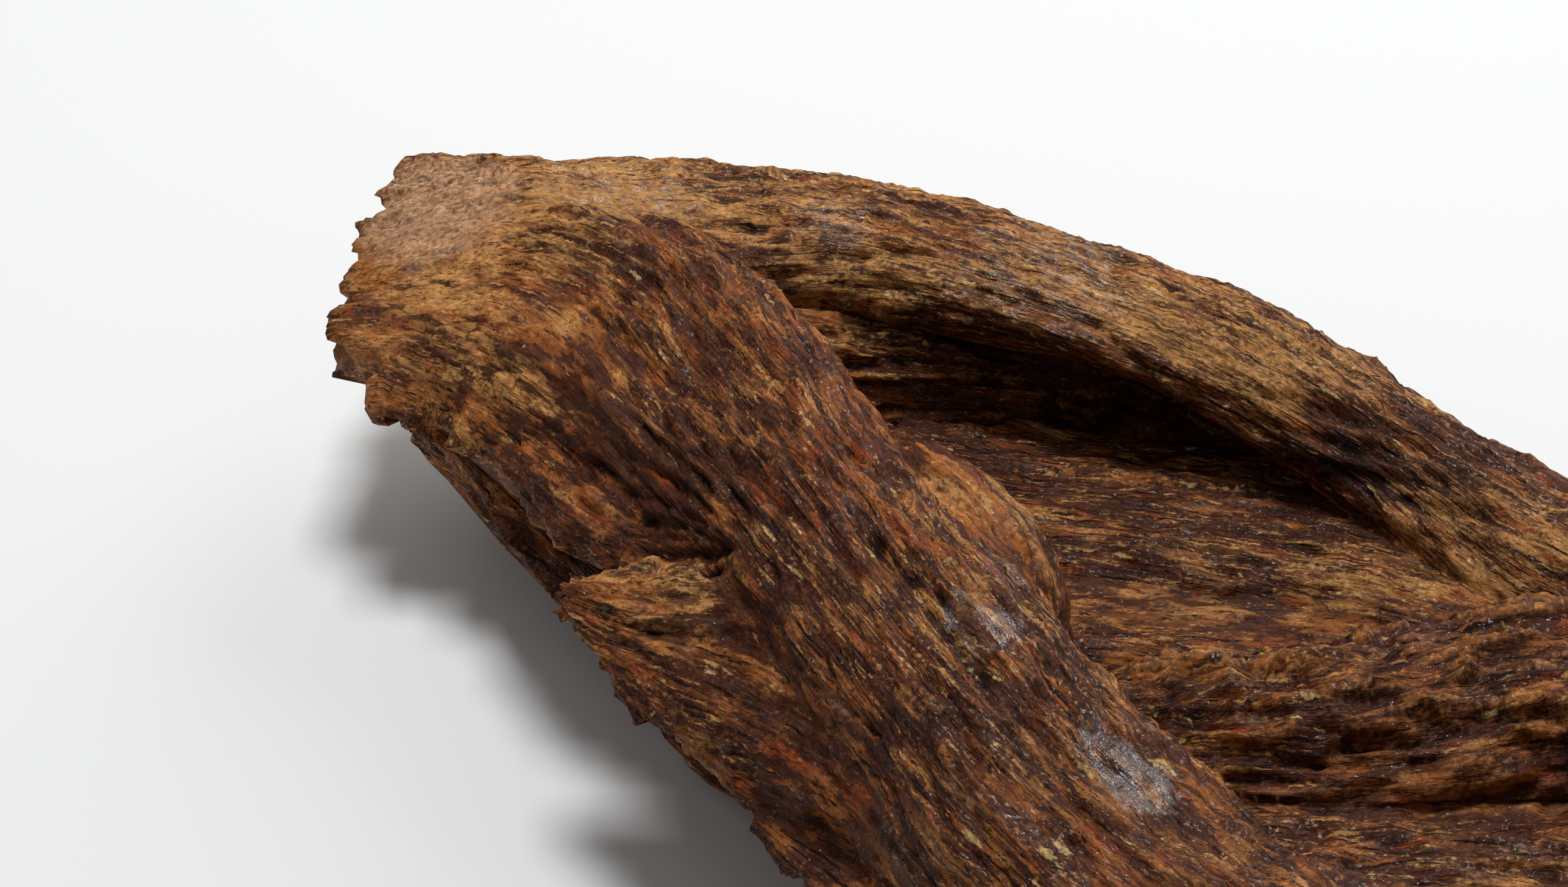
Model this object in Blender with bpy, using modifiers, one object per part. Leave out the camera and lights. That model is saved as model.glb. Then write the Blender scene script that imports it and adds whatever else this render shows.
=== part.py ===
"""A piece of agarwood: a weathered, resin-filled fork of wood, lying on a table.

A head at the left divides into a front arm and a back arm. They ride on a low body, close round an open
hollow and meet again in a broken stump at the right. The near side of the front arm is torn into fins.

The wood grew as one piece, so it is one solid. Each limb of it is a loft between unlike sections, the limbs
are fused by a voxel Remesh, and the skin is then moved along its normals by noise that is drawn out along
the grain. Sizes are in millimetres: +X to the right, +Y away from the torn side, +Z up, the table at Z = 0.
"""

import itertools
import math

import bmesh
import bpy
import numpy as np
from mathutils import Vector

MM = 0.001

# Each station is (x, y, z, half width, half height, roll in degrees) at a point along the limb.
FRONT_ARM = [
    (-25.6, 24.5, 13.5, 7, 4.5, 0),
    (-16, 23, 14.5, 8, 5, 0),
    (-9.5, 18, 15.5, 8, 5.5, -5),
    (-4.5, 9.5, 16.5, 7.5, 6, -12),
    (1, -1, 16.5, 7, 6, -14),
    (6, -11, 16.5, 7.3, 6.2, -14),
    (10.5, -20, 16, 7.8, 6.5, -10),
    (15, -28, 15, 8.4, 6.8, -6),
    (22, -36, 13, 9, 7, 0),
    (34, -42, 10.5, 9.5, 6.8, 0),
    (48, -42, 9, 9, 6.5, 0),
    (63, -36, 8, 7.5, 5.6, 0),
]
BACK_ARM = [
    (-24, 28.8, 14.6, 7, 4.8, 0),
    (-15, 28.8, 14.7, 7.2, 4.5, 0),
    (-3, 28.2, 14.4, 6, 4.3, 0),
    (8, 26.6, 15.2, 5, 3.3, 0),
    (23, 19.5, 14.5, 4.6, 2.8, 0),
    (36, 11.5, 11.6, 4.6, 3.2, 0),
    (46, 3.6, 8.4, 5.2, 3.8, 0),
    (58, -5.2, 7.4, 6, 4.6, 0),
    (69, -13, 7.2, 5.6, 4.6, 0),
]
BACK_WALL = [
    (-10, 27, 9, 4, 5, 0),
    (4, 28.6, 8.6, 4, 6.6, 0),
    (22, 25.1, 8.2, 3.8, 6.2, 0),
    (37, 16.6, 6.6, 4, 5, 0),
    (50, 6, 5, 4.8, 3.8, 0),
    (66, -7, 5.5, 6, 4, 0),
]
CROTCH_WALL = [
    (-6, 24, 8.5, 6, 6, 0),
    (1, 22.5, 8.5, 5, 6, 0),
    (8, 22.8, 7.4, 4, 5, 0),
    (16, 24, 5.8, 2.6, 3.4, 0),
]
FLOOR = [
    (-8, 16, 6, 5, 3.5, 0),
    (3, 15.5, 5, 8, 3.8, 4),
    (15, 14, 4.6, 9, 3.7, 9),
    (28, 11, 4.8, 9.5, 3.9, 9),
    (42, 6, 5, 10, 4.1, 6),
    (56, -3, 5, 11, 4.2, 0),
    (69, -15, 5.2, 8, 4, 0),
]
MID_FLOOR = [
    (-2, 2, 4.6, 5, 3.2, 0),
    (9, 1, 4.3, 6, 3.1, 0),
    (22, 1, 4.3, 6, 3, 0),
    (37, 0, 4.5, 6, 3.2, 0),
]
NEAR_FLOOR = [
    (16, -19, 4.8, 5, 3.4, 0),
    (29, -22, 4.8, 9, 3.6, 0),
    (46, -24, 5, 10, 3.9, 0),
    (65, -26, 5.4, 7, 4, 0),
]
FRONT_LOBE = [
    (12, -9, 4.7, 4.5, 3.6, 0),
    (22, -9.5, 5, 5.5, 4.3, 0),
    (33, -10, 5.6, 6.5, 5.2, 0),
    (46, -8.5, 6.4, 7.5, 6.1, 0),
    (58, -12, 6.1, 8, 5.6, 0),
    (70, -19, 5.7, 6, 4.6, 0),
]
KEEL = [
    (-18, 20, 9, 6, 3.5, 0),
    (-12, 12, 7, 6, 4, 0),
    (-4, 2, 5.8, 6, 4.4, 0),
    (3, -8, 5.2, 5.5, 4, 0),
    (11, -18, 5.6, 7, 4.4, 0),
    (18, -30, 5.8, 8.5, 4.6, 0),
    (29, -38, 5.8, 8.5, 4.6, 0),
    (44, -37, 5.8, 10, 4.6, 0),
    (66, -29, 5.6, 7.5, 4.2, 0),
]
UNDER_ARM = [
    (-14, 16, 11, 4, 4, 0),
    (-3, 6, 10.5, 4, 4.5, 0),
    (5, -8, 10.5, 4, 4.5, 0),
    (12, -20, 10.5, 4.5, 4.5, 0),
    (20, -31, 10, 5, 4.5, 0),
    (33, -38, 8.5, 5, 4.5, 0),
    (48, -37, 7.5, 5, 4, 0),
]
UPPER_FIN = [
    (-23, 19.5, 12.5, 5, 2.6, 0),
    (-18, 17, 13, 5, 2.3, -10),
    (-13.7, 11.2, 13.4, 5, 2.1, -14),
    (-10.2, 7, 14, 5, 2, -14),
    (-6.9, 1.8, 14.3, 4, 1.8, -14),
    (-5.2, -2.2, 14.4, 2.4, 1.5, -14),
]
SLOPE = [
    (-21, 20.5, 15, 5, 2.4, -16),
    (-14.5, 15.8, 15.9, 5.4, 2.7, -24),
    (-9, 8.8, 16.5, 5, 2.7, -28),
    (-5.4, 2, 16.8, 4.4, 2.7, -30),
    (-2.8, -3.6, 16.8, 3.4, 2.4, -30),
]
PINCH_FIN = [
    (-15, 8, 13.3, 2.4, 1.6, -14),
    (-11.4, 2.4, 13.8, 2.6, 1.6, -14),
    (-8.2, -1, 14.3, 2.4, 1.5, -14),
    (-5.8, -3.6, 15, 2, 1.5, -14),
    (-3.2, -5.6, 16, 1.5, 1.4, -10),
]
TOOTH = [
    (-12.5, -5.9, 14.4, 1.2, 0.7, -20),
    (-10.8, -6.9, 14.5, 2.3, 1, -20),
    (-8, -8.2, 14.8, 3.5, 1.5, -20),
    (-3, -9.3, 15, 4.3, 2.2, -20),
    (3, -12, 15.5, 4.6, 3, -20),
]
LOWER_FIN = [
    (-9.4, -9, 13.8, 2, 1, -28),
    (-5, -11.8, 14, 4.1, 1.6, -26),
    (-0.6, -15.4, 14.3, 4, 2.2, -24),
    (4.5, -20.5, 14.3, 3.6, 2.8, -20),
    (9.5, -26.5, 13.8, 4, 3, -15),
    (13, -33, 13, 3.6, 3, -10),
]
HEAD_TOOTH = [
    (-27.8, 20.8, 12, 0.7, 0.6, 0),
    (-25.5, 20.2, 12.2, 2.6, 1.7, 0),
    (-21, 19.5, 12.5, 4, 2.4, 0),
]
SHOULDER = [
    (7, 0.5, 17.3, 2.6, 3, 0),
    (10.3, -4, 17.2, 3.2, 3.6, 0),
    (12.8, -10, 16.3, 2.8, 3.2, 0),
    (13, -16, 15.4, 1.6, 2, 0),
]
TONGUE_HIGH = [
    (-6, -14.2, 12.4, 0.8, 0.7, -20),
    (-3.6, -15.8, 12.4, 2, 1, -20),
    (1.8, -20, 12.2, 3, 1.2, -15),
    (7.4, -25, 12, 2.8, 1.2, -10),
]
TONGUE_LOW = [
    (-1, -21, 10.9, 0.8, 0.7, -20),
    (1, -22.6, 10.9, 1.8, 0.9, -20),
    (6, -27.4, 10.7, 2.7, 1.2, -10),
    (11.6, -32.2, 10.4, 2.4, 1.2, 0),
]
FOOT_FRONT = [
    (-5, -2, 2.4, 2.8, 2.6, 0),
    (-1, -6, 1.8, 3.4, 2.6, 0),
    (4, -9, 2.4, 2.8, 2.6, 0),
]
FOOT_BACK = [
    (12, 26, 2.6, 2.8, 2.6, 0),
    (17, 25, 1.9, 3.4, 2.6, 0),
    (22, 23, 2.6, 2.8, 2.6, 0),
]
FOOT_RIGHT = [
    (51, -25, 2.6, 3, 2.6, 0),
    (56, -24.5, 1.9, 3.6, 2.6, 0),
    (61, -24, 2.6, 3, 2.6, 0),
]
LIMBS = {
    "front_arm": FRONT_ARM,
    "back_arm": BACK_ARM,
    "back_wall": BACK_WALL,
    "crotch_wall": CROTCH_WALL,
    "floor": FLOOR,
    "mid_floor": MID_FLOOR,
    "near_floor": NEAR_FLOOR,
    "front_lobe": FRONT_LOBE,
    "keel": KEEL,
    "under_arm": UNDER_ARM,
    "upper_fin": UPPER_FIN,
    "tooth": TOOTH,
    "lower_fin": LOWER_FIN,
    "head_tooth": HEAD_TOOTH,
    "shoulder": SHOULDER,
    "tongue_high": TONGUE_HIGH,
    "tongue_low": TONGUE_LOW,
    "foot_front": FOOT_FRONT,
    "foot_back": FOOT_BACK,
    "foot_right": FOOT_RIGHT,
    "pinch_fin": PINCH_FIN,
    "slope": SLOPE,
}
# How strongly a limb carries each layer of the relief: its swells, crests, furrows and crags.
SKIN = {
    "front_arm": (1, 0.6, 0.5, 0.15),
    "back_arm": (1, 0.6, 0.55, 0.3),
    "back_wall": (1, 1, 1, 1),
    "crotch_wall": (1, 1, 1, 1.3),
    "floor": (1, 0.5, 0.4, 0.45),
    "mid_floor": (1, 0.6, 0.5, 0.6),
    "near_floor": (1, 0.9, 0.8, 1),
    "front_lobe": (1, 1.5, 1.5, 1.4),
    "keel": (1, 1, 1, 0.6),
    "under_arm": (1, 1, 1, 0.6),
}
USUAL_SKIN = (1, 0.8, 0.8, 0.3)
FINS = ("upper_fin", "pinch_fin", "tooth", "lower_fin", "tongue_high", "tongue_low")

# A chip off the top of the head: a point on it and its normal.
CHIP_POINT = (-17.8, 29, 18.6)
CHIP_NORMAL = (-0.33, -0.083, 0.94)

SECTION_SIDES = 28
STATION_STEPS = 10
VOXEL = 0.45
SOFTENING = 4  # passes of smoothing after the limbs are fused

# A fin's half width swings by this share of itself, over this length of its edge.
FIN_RAG = 0.22
FIN_RAG_LENGTH = 1.6

# A broken end steps in and out by TORN_DEPTH in cells of fibres, and each cell's face is a little uneven.
TORN_DEPTH = 2.6
TORN_CELL = (2.4, 1.5)
TORN_STEPS = 2.5
TORN_UNEVEN = 0.4
TORN_OUTWARD = 0.35
FULL_TEAR = 4  # limbs thinner than twice this tear less deeply
END_RINGS = (0.12, 0.4, 0.68, 0.9)

# The relief of the skin: amplitude, length along the grain, length across it, and its shape.
RELIEF = [
    (1.1, 17, 9, "swelling"),
    (0.6, 14, 3.4, "crested"),
    (0.4, 8, 1.7, "furrowed"),
    (0.4, 4.2, 1.5, "crested"),
]
CREST_SHARPNESS = 0.7
FULL_RELIEF = 4.5  # limbs thinner than twice this carry less relief, down to LEAST_RELIEF of it
LEAST_RELIEF = 0.25
GRAIN_SWITCH = 6  # how sharply the grain passes from one limb's direction to the next
GRAIN_SHARE = 0.02  # a limb with a smaller share than this is left out at a point
END_SLACK = 2  # how far past its end a limb still owns the skin

TRIANGLES = 10800
WOOD_COLOUR = (0.16, 0.075, 0.04, 1)
WOOD_ROUGHNESS = 0.6

# Odd multipliers that scatter the lattice of the noise.
SCATTER = (374761393, 668265263, 1103515245)
SEED_STEP = 1274126177
LOW_BITS = 0xFFFFFFFF
NOISE_GAIN = 1.7  # brings the noise to about -1 to 1


def noise_at(points, seed):
    """Gradient noise, about -1 to 1, at all the points at once."""
    cell = np.floor(points)
    part = points - cell
    fade = part**3 * (part * (part * 6 - 15) + 10)
    total = np.zeros(len(points))
    for corner in itertools.product((0, 1), repeat=3):
        code = ((cell + corner).astype(np.int64) @ np.array(SCATTER) + seed * SEED_STEP) & LOW_BITS
        code = ((code ^ (code >> 13)) * SEED_STEP) & LOW_BITS
        code = ((code ^ (code >> 16)) * SCATTER[1]) & LOW_BITS
        slope = np.stack([(code >> shift & 1023) / 511.5 - 1 for shift in (2, 12, 22)], axis=1)
        weight = np.prod(np.where(corner, fade, 1 - fade), axis=1)
        total += weight * np.sum(slope * (part - corner), axis=1)
    return total * NOISE_GAIN


def sampled(stations, steps=STATION_STEPS):
    """The stations joined by a Catmull-Rom curve through all of their values."""
    points = np.array(stations, float)
    ends = np.vstack([2 * points[0] - points[1], points, 2 * points[-1] - points[-2]])
    rows = []
    for a, b, c, d in zip(ends, ends[1:], ends[2:], ends[3:]):
        for t in np.arange(steps) / steps:
            bend = (2 * a - 5 * b + 4 * c - d) * t**2 + (3 * b - a - 3 * c + d) * t**3
            rows.append(0.5 * (2 * b + (c - a) * t + bend))
    return np.array(rows + [points[-1]])


def travelled(rows):
    """The distance along a limb to each of its rows."""
    return np.cumsum(np.linalg.norm(np.diff(rows[:, :3], axis=0, prepend=rows[:1, :3]), axis=1))


def frames(rows):
    """The tangent, side and up vectors at each row of a limb, rolled about the tangent."""
    tangent = np.gradient(rows[:, :3], axis=0)
    tangent /= np.linalg.norm(tangent, axis=1, keepdims=True)
    side = np.cross(tangent, [0, 0, 1])
    side /= np.linalg.norm(side, axis=1, keepdims=True)
    up = np.cross(side, tangent)
    roll = np.radians(rows[:, 5:6])
    return tangent, side * np.cos(roll) + up * np.sin(roll), up * np.cos(roll) - side * np.sin(roll)


def limb(name, stations):
    """A closed loft of oval sections along the stations, with torn ends and, on a fin, ragged edges."""
    seed = list(LIMBS).index(name)
    rows = sampled(stations)
    if name in FINS:
        places = np.outer(travelled(rows) / FIN_RAG_LENGTH, (1, 0, 0)) + (0, 0, 0.5)
        rows[:, 3] *= 1 + FIN_RAG * noise_at(places, seed)
    tangent, side, up = frames(rows)
    turns = [2 * math.pi * i / SECTION_SIDES for i in range(SECTION_SIDES)]
    mesh = bmesh.new()

    def ring(i, scale, push):
        """One section, drawn in by scale; push moves its points along the limb by torn steps."""
        x, y = rows[i, 3] * scale, rows[i, 4] * scale
        flat = np.array([(x * math.cos(a), y * math.sin(a)) for a in turns])
        places = rows[i, :3] + flat[:, :1] * side[i] + flat[:, 1:] * up[i]
        if push:
            cells = np.column_stack([flat / TORN_CELL, np.full(len(flat), 0.5)])
            steps = np.round(noise_at(cells, seed + 40) * TORN_STEPS) / TORN_STEPS
            steps += TORN_UNEVEN * noise_at(cells * 2.1, seed + 60) + TORN_OUTWARD
            reach = push * TORN_DEPTH * min(1, rows[i, 4] / FULL_TEAR)
            places = places + np.outer(reach * steps, tangent[i])
        return [mesh.verts.new(Vector(p) * MM) for p in places]

    last = len(rows) - 1
    rings = [ring(0, scale, -1) for scale in END_RINGS]
    rings += [ring(i, 1, 0) for i in range(last + 1)]
    rings += [ring(last, scale, 1) for scale in reversed(END_RINGS)]
    for a, b in zip(rings, rings[1:]):
        for i in range(SECTION_SIDES):
            j = (i + 1) % SECTION_SIDES
            mesh.faces.new((a[i], a[j], b[j], b[i]))
    mesh.faces.new(rings[0])
    mesh.faces.new(rings[-1])
    bmesh.ops.recalc_face_normals(mesh, faces=mesh.faces)
    data = bpy.data.meshes.new(name)
    mesh.to_mesh(data)
    mesh.free()
    obj = bpy.data.objects.new(name, data)
    bpy.context.scene.collection.objects.link(obj)
    return obj


def applied(obj):
    """The object with its modifiers worked into its mesh."""
    graph = bpy.context.evaluated_depsgraph_get()
    data = bpy.data.meshes.new_from_object(obj.evaluated_get(graph))
    obj.modifiers.clear()
    obj.data = data
    return obj


def fused(objects, name, voxel):
    """The objects joined and grown together by a voxel Remesh."""
    bpy.ops.object.select_all(action="DESELECT")
    for o in objects:
        o.select_set(True)
    bpy.context.view_layer.objects.active = objects[0]
    bpy.ops.object.join()
    obj = bpy.context.view_layer.objects.active
    obj.name = name
    remesh = obj.modifiers.new("Fuse", "REMESH")
    remesh.mode = "VOXEL"
    remesh.voxel_size = voxel * MM
    smooth = obj.modifiers.new("Soften", "SMOOTH")
    smooth.factor = 0.5
    smooth.iterations = SOFTENING
    return applied(obj)


def grain(points):
    """Each limb's grain at the points: weights, places (along, across, up) and its thickness."""
    weights, places, depths = [], [], []
    for stations in LIMBS.values():
        rows = sampled(stations)
        tangent, side, up = frames(rows)
        run = travelled(rows)
        near = np.argmin(((points[:, None] - rows[None, :, :3]) ** 2).sum(axis=2), axis=1)
        away = points - rows[near, :3]
        along = (away * tangent[near]).sum(axis=1)
        across = (away * side[near]).sum(axis=1) / rows[near, 3]
        above = (away * up[near]).sum(axis=1) / rows[near, 4]
        beyond = np.maximum(np.abs(along) - END_SLACK, 0) / rows[near, 4]
        radius = np.sqrt(across**2 + above**2 + beyond**2)
        weights.append(np.exp(-GRAIN_SWITCH * np.clip(radius - 1, -0.3, 4)))
        across *= rows[:, 3].mean()
        above *= rows[:, 4].mean()
        places.append(np.column_stack([run[near] + along, across, above]))
        depths.append(rows[near, 4])
    return np.array(weights), places, np.array(depths)


def relief(points, layers):
    """How far the skin stands out at the points: noise drawn out along the grain of the limbs there."""
    weights, places, depths = grain(points)
    shares = weights / weights.sum(axis=0)
    height = np.zeros(len(points))
    for n, (amplitude, long, short, shape) in enumerate(layers):
        for seed, (name, share, place) in enumerate(zip(LIMBS, shares, places)):
            there = share > GRAIN_SHARE
            value = noise_at(place[there] / (long, short, short), 30 * n + seed + 1)
            if shape == "furrowed":
                value = 2 * np.sqrt(np.abs(value)) - 1
            if shape == "crested":
                value = 1 - 2 * np.abs(value) ** CREST_SHARPNESS
            height[there] += amplitude * SKIN.get(name, USUAL_SKIN)[n] * share[there] * value
    thickness = (shares * depths).sum(axis=0)
    return height * np.clip(thickness / FULL_RELIEF, LEAST_RELIEF, 1)


def shaped(obj, layers):
    """The fused form with its chip struck off and its grain raised."""
    mesh = obj.data
    points = np.empty(len(mesh.vertices) * 3)
    mesh.vertices.foreach_get("co", points)
    points = points.reshape(-1, 3) / MM
    normal = np.array(CHIP_NORMAL) / np.linalg.norm(CHIP_NORMAL)
    points -= np.outer(np.maximum((points - CHIP_POINT) @ normal, 0), normal)
    mesh.vertices.foreach_set("co", (points * MM).ravel())
    mesh.update()
    normals = np.empty(len(mesh.vertices) * 3)
    mesh.vertices.foreach_get("normal", normals)
    points += normals.reshape(-1, 3) * relief(points, layers)[:, None]
    mesh.vertices.foreach_set("co", (points * MM).ravel())
    mesh.update()
    return obj


def faceted(obj, triangles):
    """The skin drawn with fewer triangles."""
    triangulate = obj.modifiers.new("Triangles", "TRIANGULATE")
    triangulate.keep_custom_normals = False
    applied(obj)
    fewer = obj.modifiers.new("Fewer", "DECIMATE")
    fewer.ratio = triangles / len(obj.data.polygons)
    return applied(obj)


def settled(obj):
    """The low points cut flat at the table and the piece set over the origin. Returns its old middle."""
    mesh = bmesh.new()
    mesh.from_mesh(obj.data)
    everything = mesh.verts[:] + mesh.edges[:] + mesh.faces[:]
    bmesh.ops.bisect_plane(mesh, geom=everything, plane_co=(0, 0, 0), plane_no=(0, 0, -1), clear_outer=True)
    bmesh.ops.holes_fill(mesh, edges=[e for e in mesh.edges if e.is_boundary], sides=0)
    bmesh.ops.triangulate(mesh, faces=[f for f in mesh.faces if len(f.verts) > 3])
    bmesh.ops.recalc_face_normals(mesh, faces=mesh.faces)
    corners = np.array([v.co for v in mesh.verts])
    middle = (corners.min(axis=0) + corners.max(axis=0)) / 2
    bmesh.ops.translate(mesh, verts=mesh.verts, vec=(-middle[0], -middle[1], -corners.min(axis=0)[2]))
    mesh.to_mesh(obj.data)
    mesh.free()
    return middle


def wood():
    """The plain colour of the weathered wood."""
    material = bpy.data.materials.new("agarwood_wood")
    material.use_nodes = True
    shader = material.node_tree.nodes["Principled BSDF"]
    shader.inputs["Base Color"].default_value = WOOD_COLOUR
    shader.inputs["Roughness"].default_value = WOOD_ROUGHNESS
    return material


def main():
    for o in list(bpy.data.objects):
        bpy.data.objects.remove(o)
    objects = [limb(name, stations) for name, stations in LIMBS.items()]
    piece = shaped(fused(objects, "agarwood", VOXEL), RELIEF)
    collection = bpy.data.collections.new("agarwood_piece")
    bpy.context.scene.collection.children.link(collection)
    bpy.context.scene.collection.objects.unlink(piece)
    collection.objects.link(piece)
    faceted(piece, TRIANGLES)
    piece.data.name = "agarwood"
    piece.data.materials.clear()
    piece.data.materials.append(wood())
    return settled(piece)


main()
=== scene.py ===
"""The looks of a piece of agarwood: its skin, torn edges and fibres, finer than the solid's, and its finish.

The skin is grown again from the limbs that the solid is made of, with finer furrows and with torn edges in
layers, and it stands for the solid. One material gives it colour, gloss and fine fibres, in patterns that are
drawn out along the grain. Sizes are in millimetres unless a name says otherwise, in the solid's design frame:
+X to the right, +Y away from the torn side, +Z up, the table at Z = 0.
"""

import itertools
import math

import bmesh
import bpy
import numpy as np
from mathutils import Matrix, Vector


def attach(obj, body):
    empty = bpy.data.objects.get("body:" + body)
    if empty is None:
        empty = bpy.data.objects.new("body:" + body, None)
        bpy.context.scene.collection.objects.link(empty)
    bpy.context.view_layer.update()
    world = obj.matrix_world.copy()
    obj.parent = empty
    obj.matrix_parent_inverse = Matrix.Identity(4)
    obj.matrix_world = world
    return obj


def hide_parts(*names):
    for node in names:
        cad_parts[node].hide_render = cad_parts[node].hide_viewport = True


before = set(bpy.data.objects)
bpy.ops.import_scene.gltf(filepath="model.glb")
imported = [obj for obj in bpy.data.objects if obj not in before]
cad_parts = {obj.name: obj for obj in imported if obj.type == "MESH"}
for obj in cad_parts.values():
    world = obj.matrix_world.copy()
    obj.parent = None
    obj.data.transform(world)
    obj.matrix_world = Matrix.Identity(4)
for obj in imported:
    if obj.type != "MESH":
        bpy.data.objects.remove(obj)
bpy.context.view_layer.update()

MM = 0.001

# Each station is (x, y, z, half width, half height, roll in degrees) at a point along the limb.
FRONT_ARM = [
    (-25.6, 24.5, 13.5, 7, 4.5, 0),
    (-16, 23, 14.5, 8, 5, 0),
    (-9.5, 18, 15.5, 8, 5.5, -5),
    (-4.5, 9.5, 16.5, 7.5, 6, -12),
    (1, -1, 16.5, 7, 6, -14),
    (6, -11, 16.5, 7.3, 6.2, -14),
    (10.5, -20, 16, 7.8, 6.5, -10),
    (15, -28, 15, 8.4, 6.8, -6),
    (22, -36, 13, 9, 7, 0),
    (34, -42, 10.5, 9.5, 6.8, 0),
    (48, -42, 9, 9, 6.5, 0),
    (63, -36, 8, 7.5, 5.6, 0),
]
BACK_ARM = [
    (-24, 28.8, 14.6, 7, 4.8, 0),
    (-15, 28.8, 14.7, 7.2, 4.5, 0),
    (-3, 28.2, 14.4, 6, 4.3, 0),
    (8, 26.6, 15.2, 5, 3.3, 0),
    (23, 19.5, 14.5, 4.6, 2.8, 0),
    (36, 11.5, 11.6, 4.6, 3.2, 0),
    (46, 3.6, 8.4, 5.2, 3.8, 0),
    (58, -5.2, 7.4, 6, 4.6, 0),
    (69, -13, 7.2, 5.6, 4.6, 0),
]
BACK_WALL = [
    (-10, 27, 9, 4, 5, 0),
    (4, 28.6, 8.6, 4, 6.6, 0),
    (22, 25.1, 8.2, 3.8, 6.2, 0),
    (37, 16.6, 6.6, 4, 5, 0),
    (50, 6, 5, 4.8, 3.8, 0),
    (66, -7, 5.5, 6, 4, 0),
]
CROTCH_WALL = [
    (-6, 24, 8.5, 6, 6, 0),
    (1, 22.5, 8.5, 5, 6, 0),
    (8, 22.8, 7.4, 4, 5, 0),
    (16, 24, 5.8, 2.6, 3.4, 0),
]
FLOOR = [
    (-8, 16, 6, 5, 3.5, 0),
    (3, 15.5, 5, 8, 3.8, 4),
    (15, 14, 4.6, 9, 3.7, 9),
    (28, 11, 4.8, 9.5, 3.9, 9),
    (42, 6, 5, 10, 4.1, 6),
    (56, -3, 5, 11, 4.2, 0),
    (69, -15, 5.2, 8, 4, 0),
]
MID_FLOOR = [
    (-2, 2, 4.6, 5, 3.2, 0),
    (9, 1, 4.3, 6, 3.1, 0),
    (22, 1, 4.3, 6, 3, 0),
    (37, 0, 4.5, 6, 3.2, 0),
]
NEAR_FLOOR = [
    (16, -19, 4.8, 5, 3.4, 0),
    (29, -22, 4.8, 9, 3.6, 0),
    (46, -24, 5, 10, 3.9, 0),
    (65, -26, 5.4, 7, 4, 0),
]
FRONT_LOBE = [
    (12, -9, 4.7, 4.5, 3.6, 0),
    (22, -9.5, 5, 5.5, 4.3, 0),
    (33, -10, 5.6, 6.5, 5.2, 0),
    (46, -8.5, 6.4, 7.5, 6.1, 0),
    (58, -12, 6.1, 8, 5.6, 0),
    (70, -19, 5.7, 6, 4.6, 0),
]
KEEL = [
    (-18, 20, 9, 6, 3.5, 0),
    (-12, 12, 7, 6, 4, 0),
    (-4, 2, 5.8, 6, 4.4, 0),
    (3, -8, 5.2, 5.5, 4, 0),
    (11, -18, 5.6, 7, 4.4, 0),
    (18, -30, 5.8, 8.5, 4.6, 0),
    (29, -38, 5.8, 8.5, 4.6, 0),
    (44, -37, 5.8, 10, 4.6, 0),
    (66, -29, 5.6, 7.5, 4.2, 0),
]
UNDER_ARM = [
    (-14, 16, 11, 4, 4, 0),
    (-3, 6, 10.5, 4, 4.5, 0),
    (5, -8, 10.5, 4, 4.5, 0),
    (12, -20, 10.5, 4.5, 4.5, 0),
    (20, -31, 10, 5, 4.5, 0),
    (33, -38, 8.5, 5, 4.5, 0),
    (48, -37, 7.5, 5, 4, 0),
]
UPPER_FIN = [
    (-23, 19.5, 12.5, 5, 2.6, 0),
    (-18, 17, 13, 5, 2.3, -10),
    (-13.7, 11.2, 13.4, 5, 2.1, -14),
    (-10.2, 7, 14, 5, 2, -14),
    (-6.9, 1.8, 14.3, 4, 1.8, -14),
    (-5.2, -2.2, 14.4, 2.4, 1.5, -14),
]
SLOPE = [
    (-21, 20.5, 15, 5, 2.4, -16),
    (-14.5, 15.8, 15.9, 5.4, 2.7, -24),
    (-9, 8.8, 16.5, 5, 2.7, -28),
    (-5.4, 2, 16.8, 4.4, 2.7, -30),
    (-2.8, -3.6, 16.8, 3.4, 2.4, -30),
]
PINCH_FIN = [
    (-15, 8, 13.3, 2.4, 1.6, -14),
    (-11.4, 2.4, 13.8, 2.6, 1.6, -14),
    (-8.2, -1, 14.3, 2.4, 1.5, -14),
    (-5.8, -3.6, 15, 2, 1.5, -14),
    (-3.2, -5.6, 16, 1.5, 1.4, -10),
]
TOOTH = [
    (-12.5, -5.9, 14.4, 1.2, 0.7, -20),
    (-10.8, -6.9, 14.5, 2.3, 1, -20),
    (-8, -8.2, 14.8, 3.5, 1.5, -20),
    (-3, -9.3, 15, 4.3, 2.2, -20),
    (3, -12, 15.5, 4.6, 3, -20),
]
LOWER_FIN = [
    (-9.4, -9, 13.8, 2, 1, -28),
    (-5, -11.8, 14, 4.1, 1.6, -26),
    (-0.6, -15.4, 14.3, 4, 2.2, -24),
    (4.5, -20.5, 14.3, 3.6, 2.8, -20),
    (9.5, -26.5, 13.8, 4, 3, -15),
    (13, -33, 13, 3.6, 3, -10),
]
HEAD_TOOTH = [
    (-27.8, 20.8, 12, 0.7, 0.6, 0),
    (-25.5, 20.2, 12.2, 2.6, 1.7, 0),
    (-21, 19.5, 12.5, 4, 2.4, 0),
]
SHOULDER = [
    (7, 0.5, 17.3, 2.6, 3, 0),
    (10.3, -4, 17.2, 3.2, 3.6, 0),
    (12.8, -10, 16.3, 2.8, 3.2, 0),
    (13, -16, 15.4, 1.6, 2, 0),
]
TONGUE_HIGH = [
    (-6, -14.2, 12.4, 0.8, 0.7, -20),
    (-3.6, -15.8, 12.4, 2, 1, -20),
    (1.8, -20, 12.2, 3, 1.2, -15),
    (7.4, -25, 12, 2.8, 1.2, -10),
]
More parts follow.
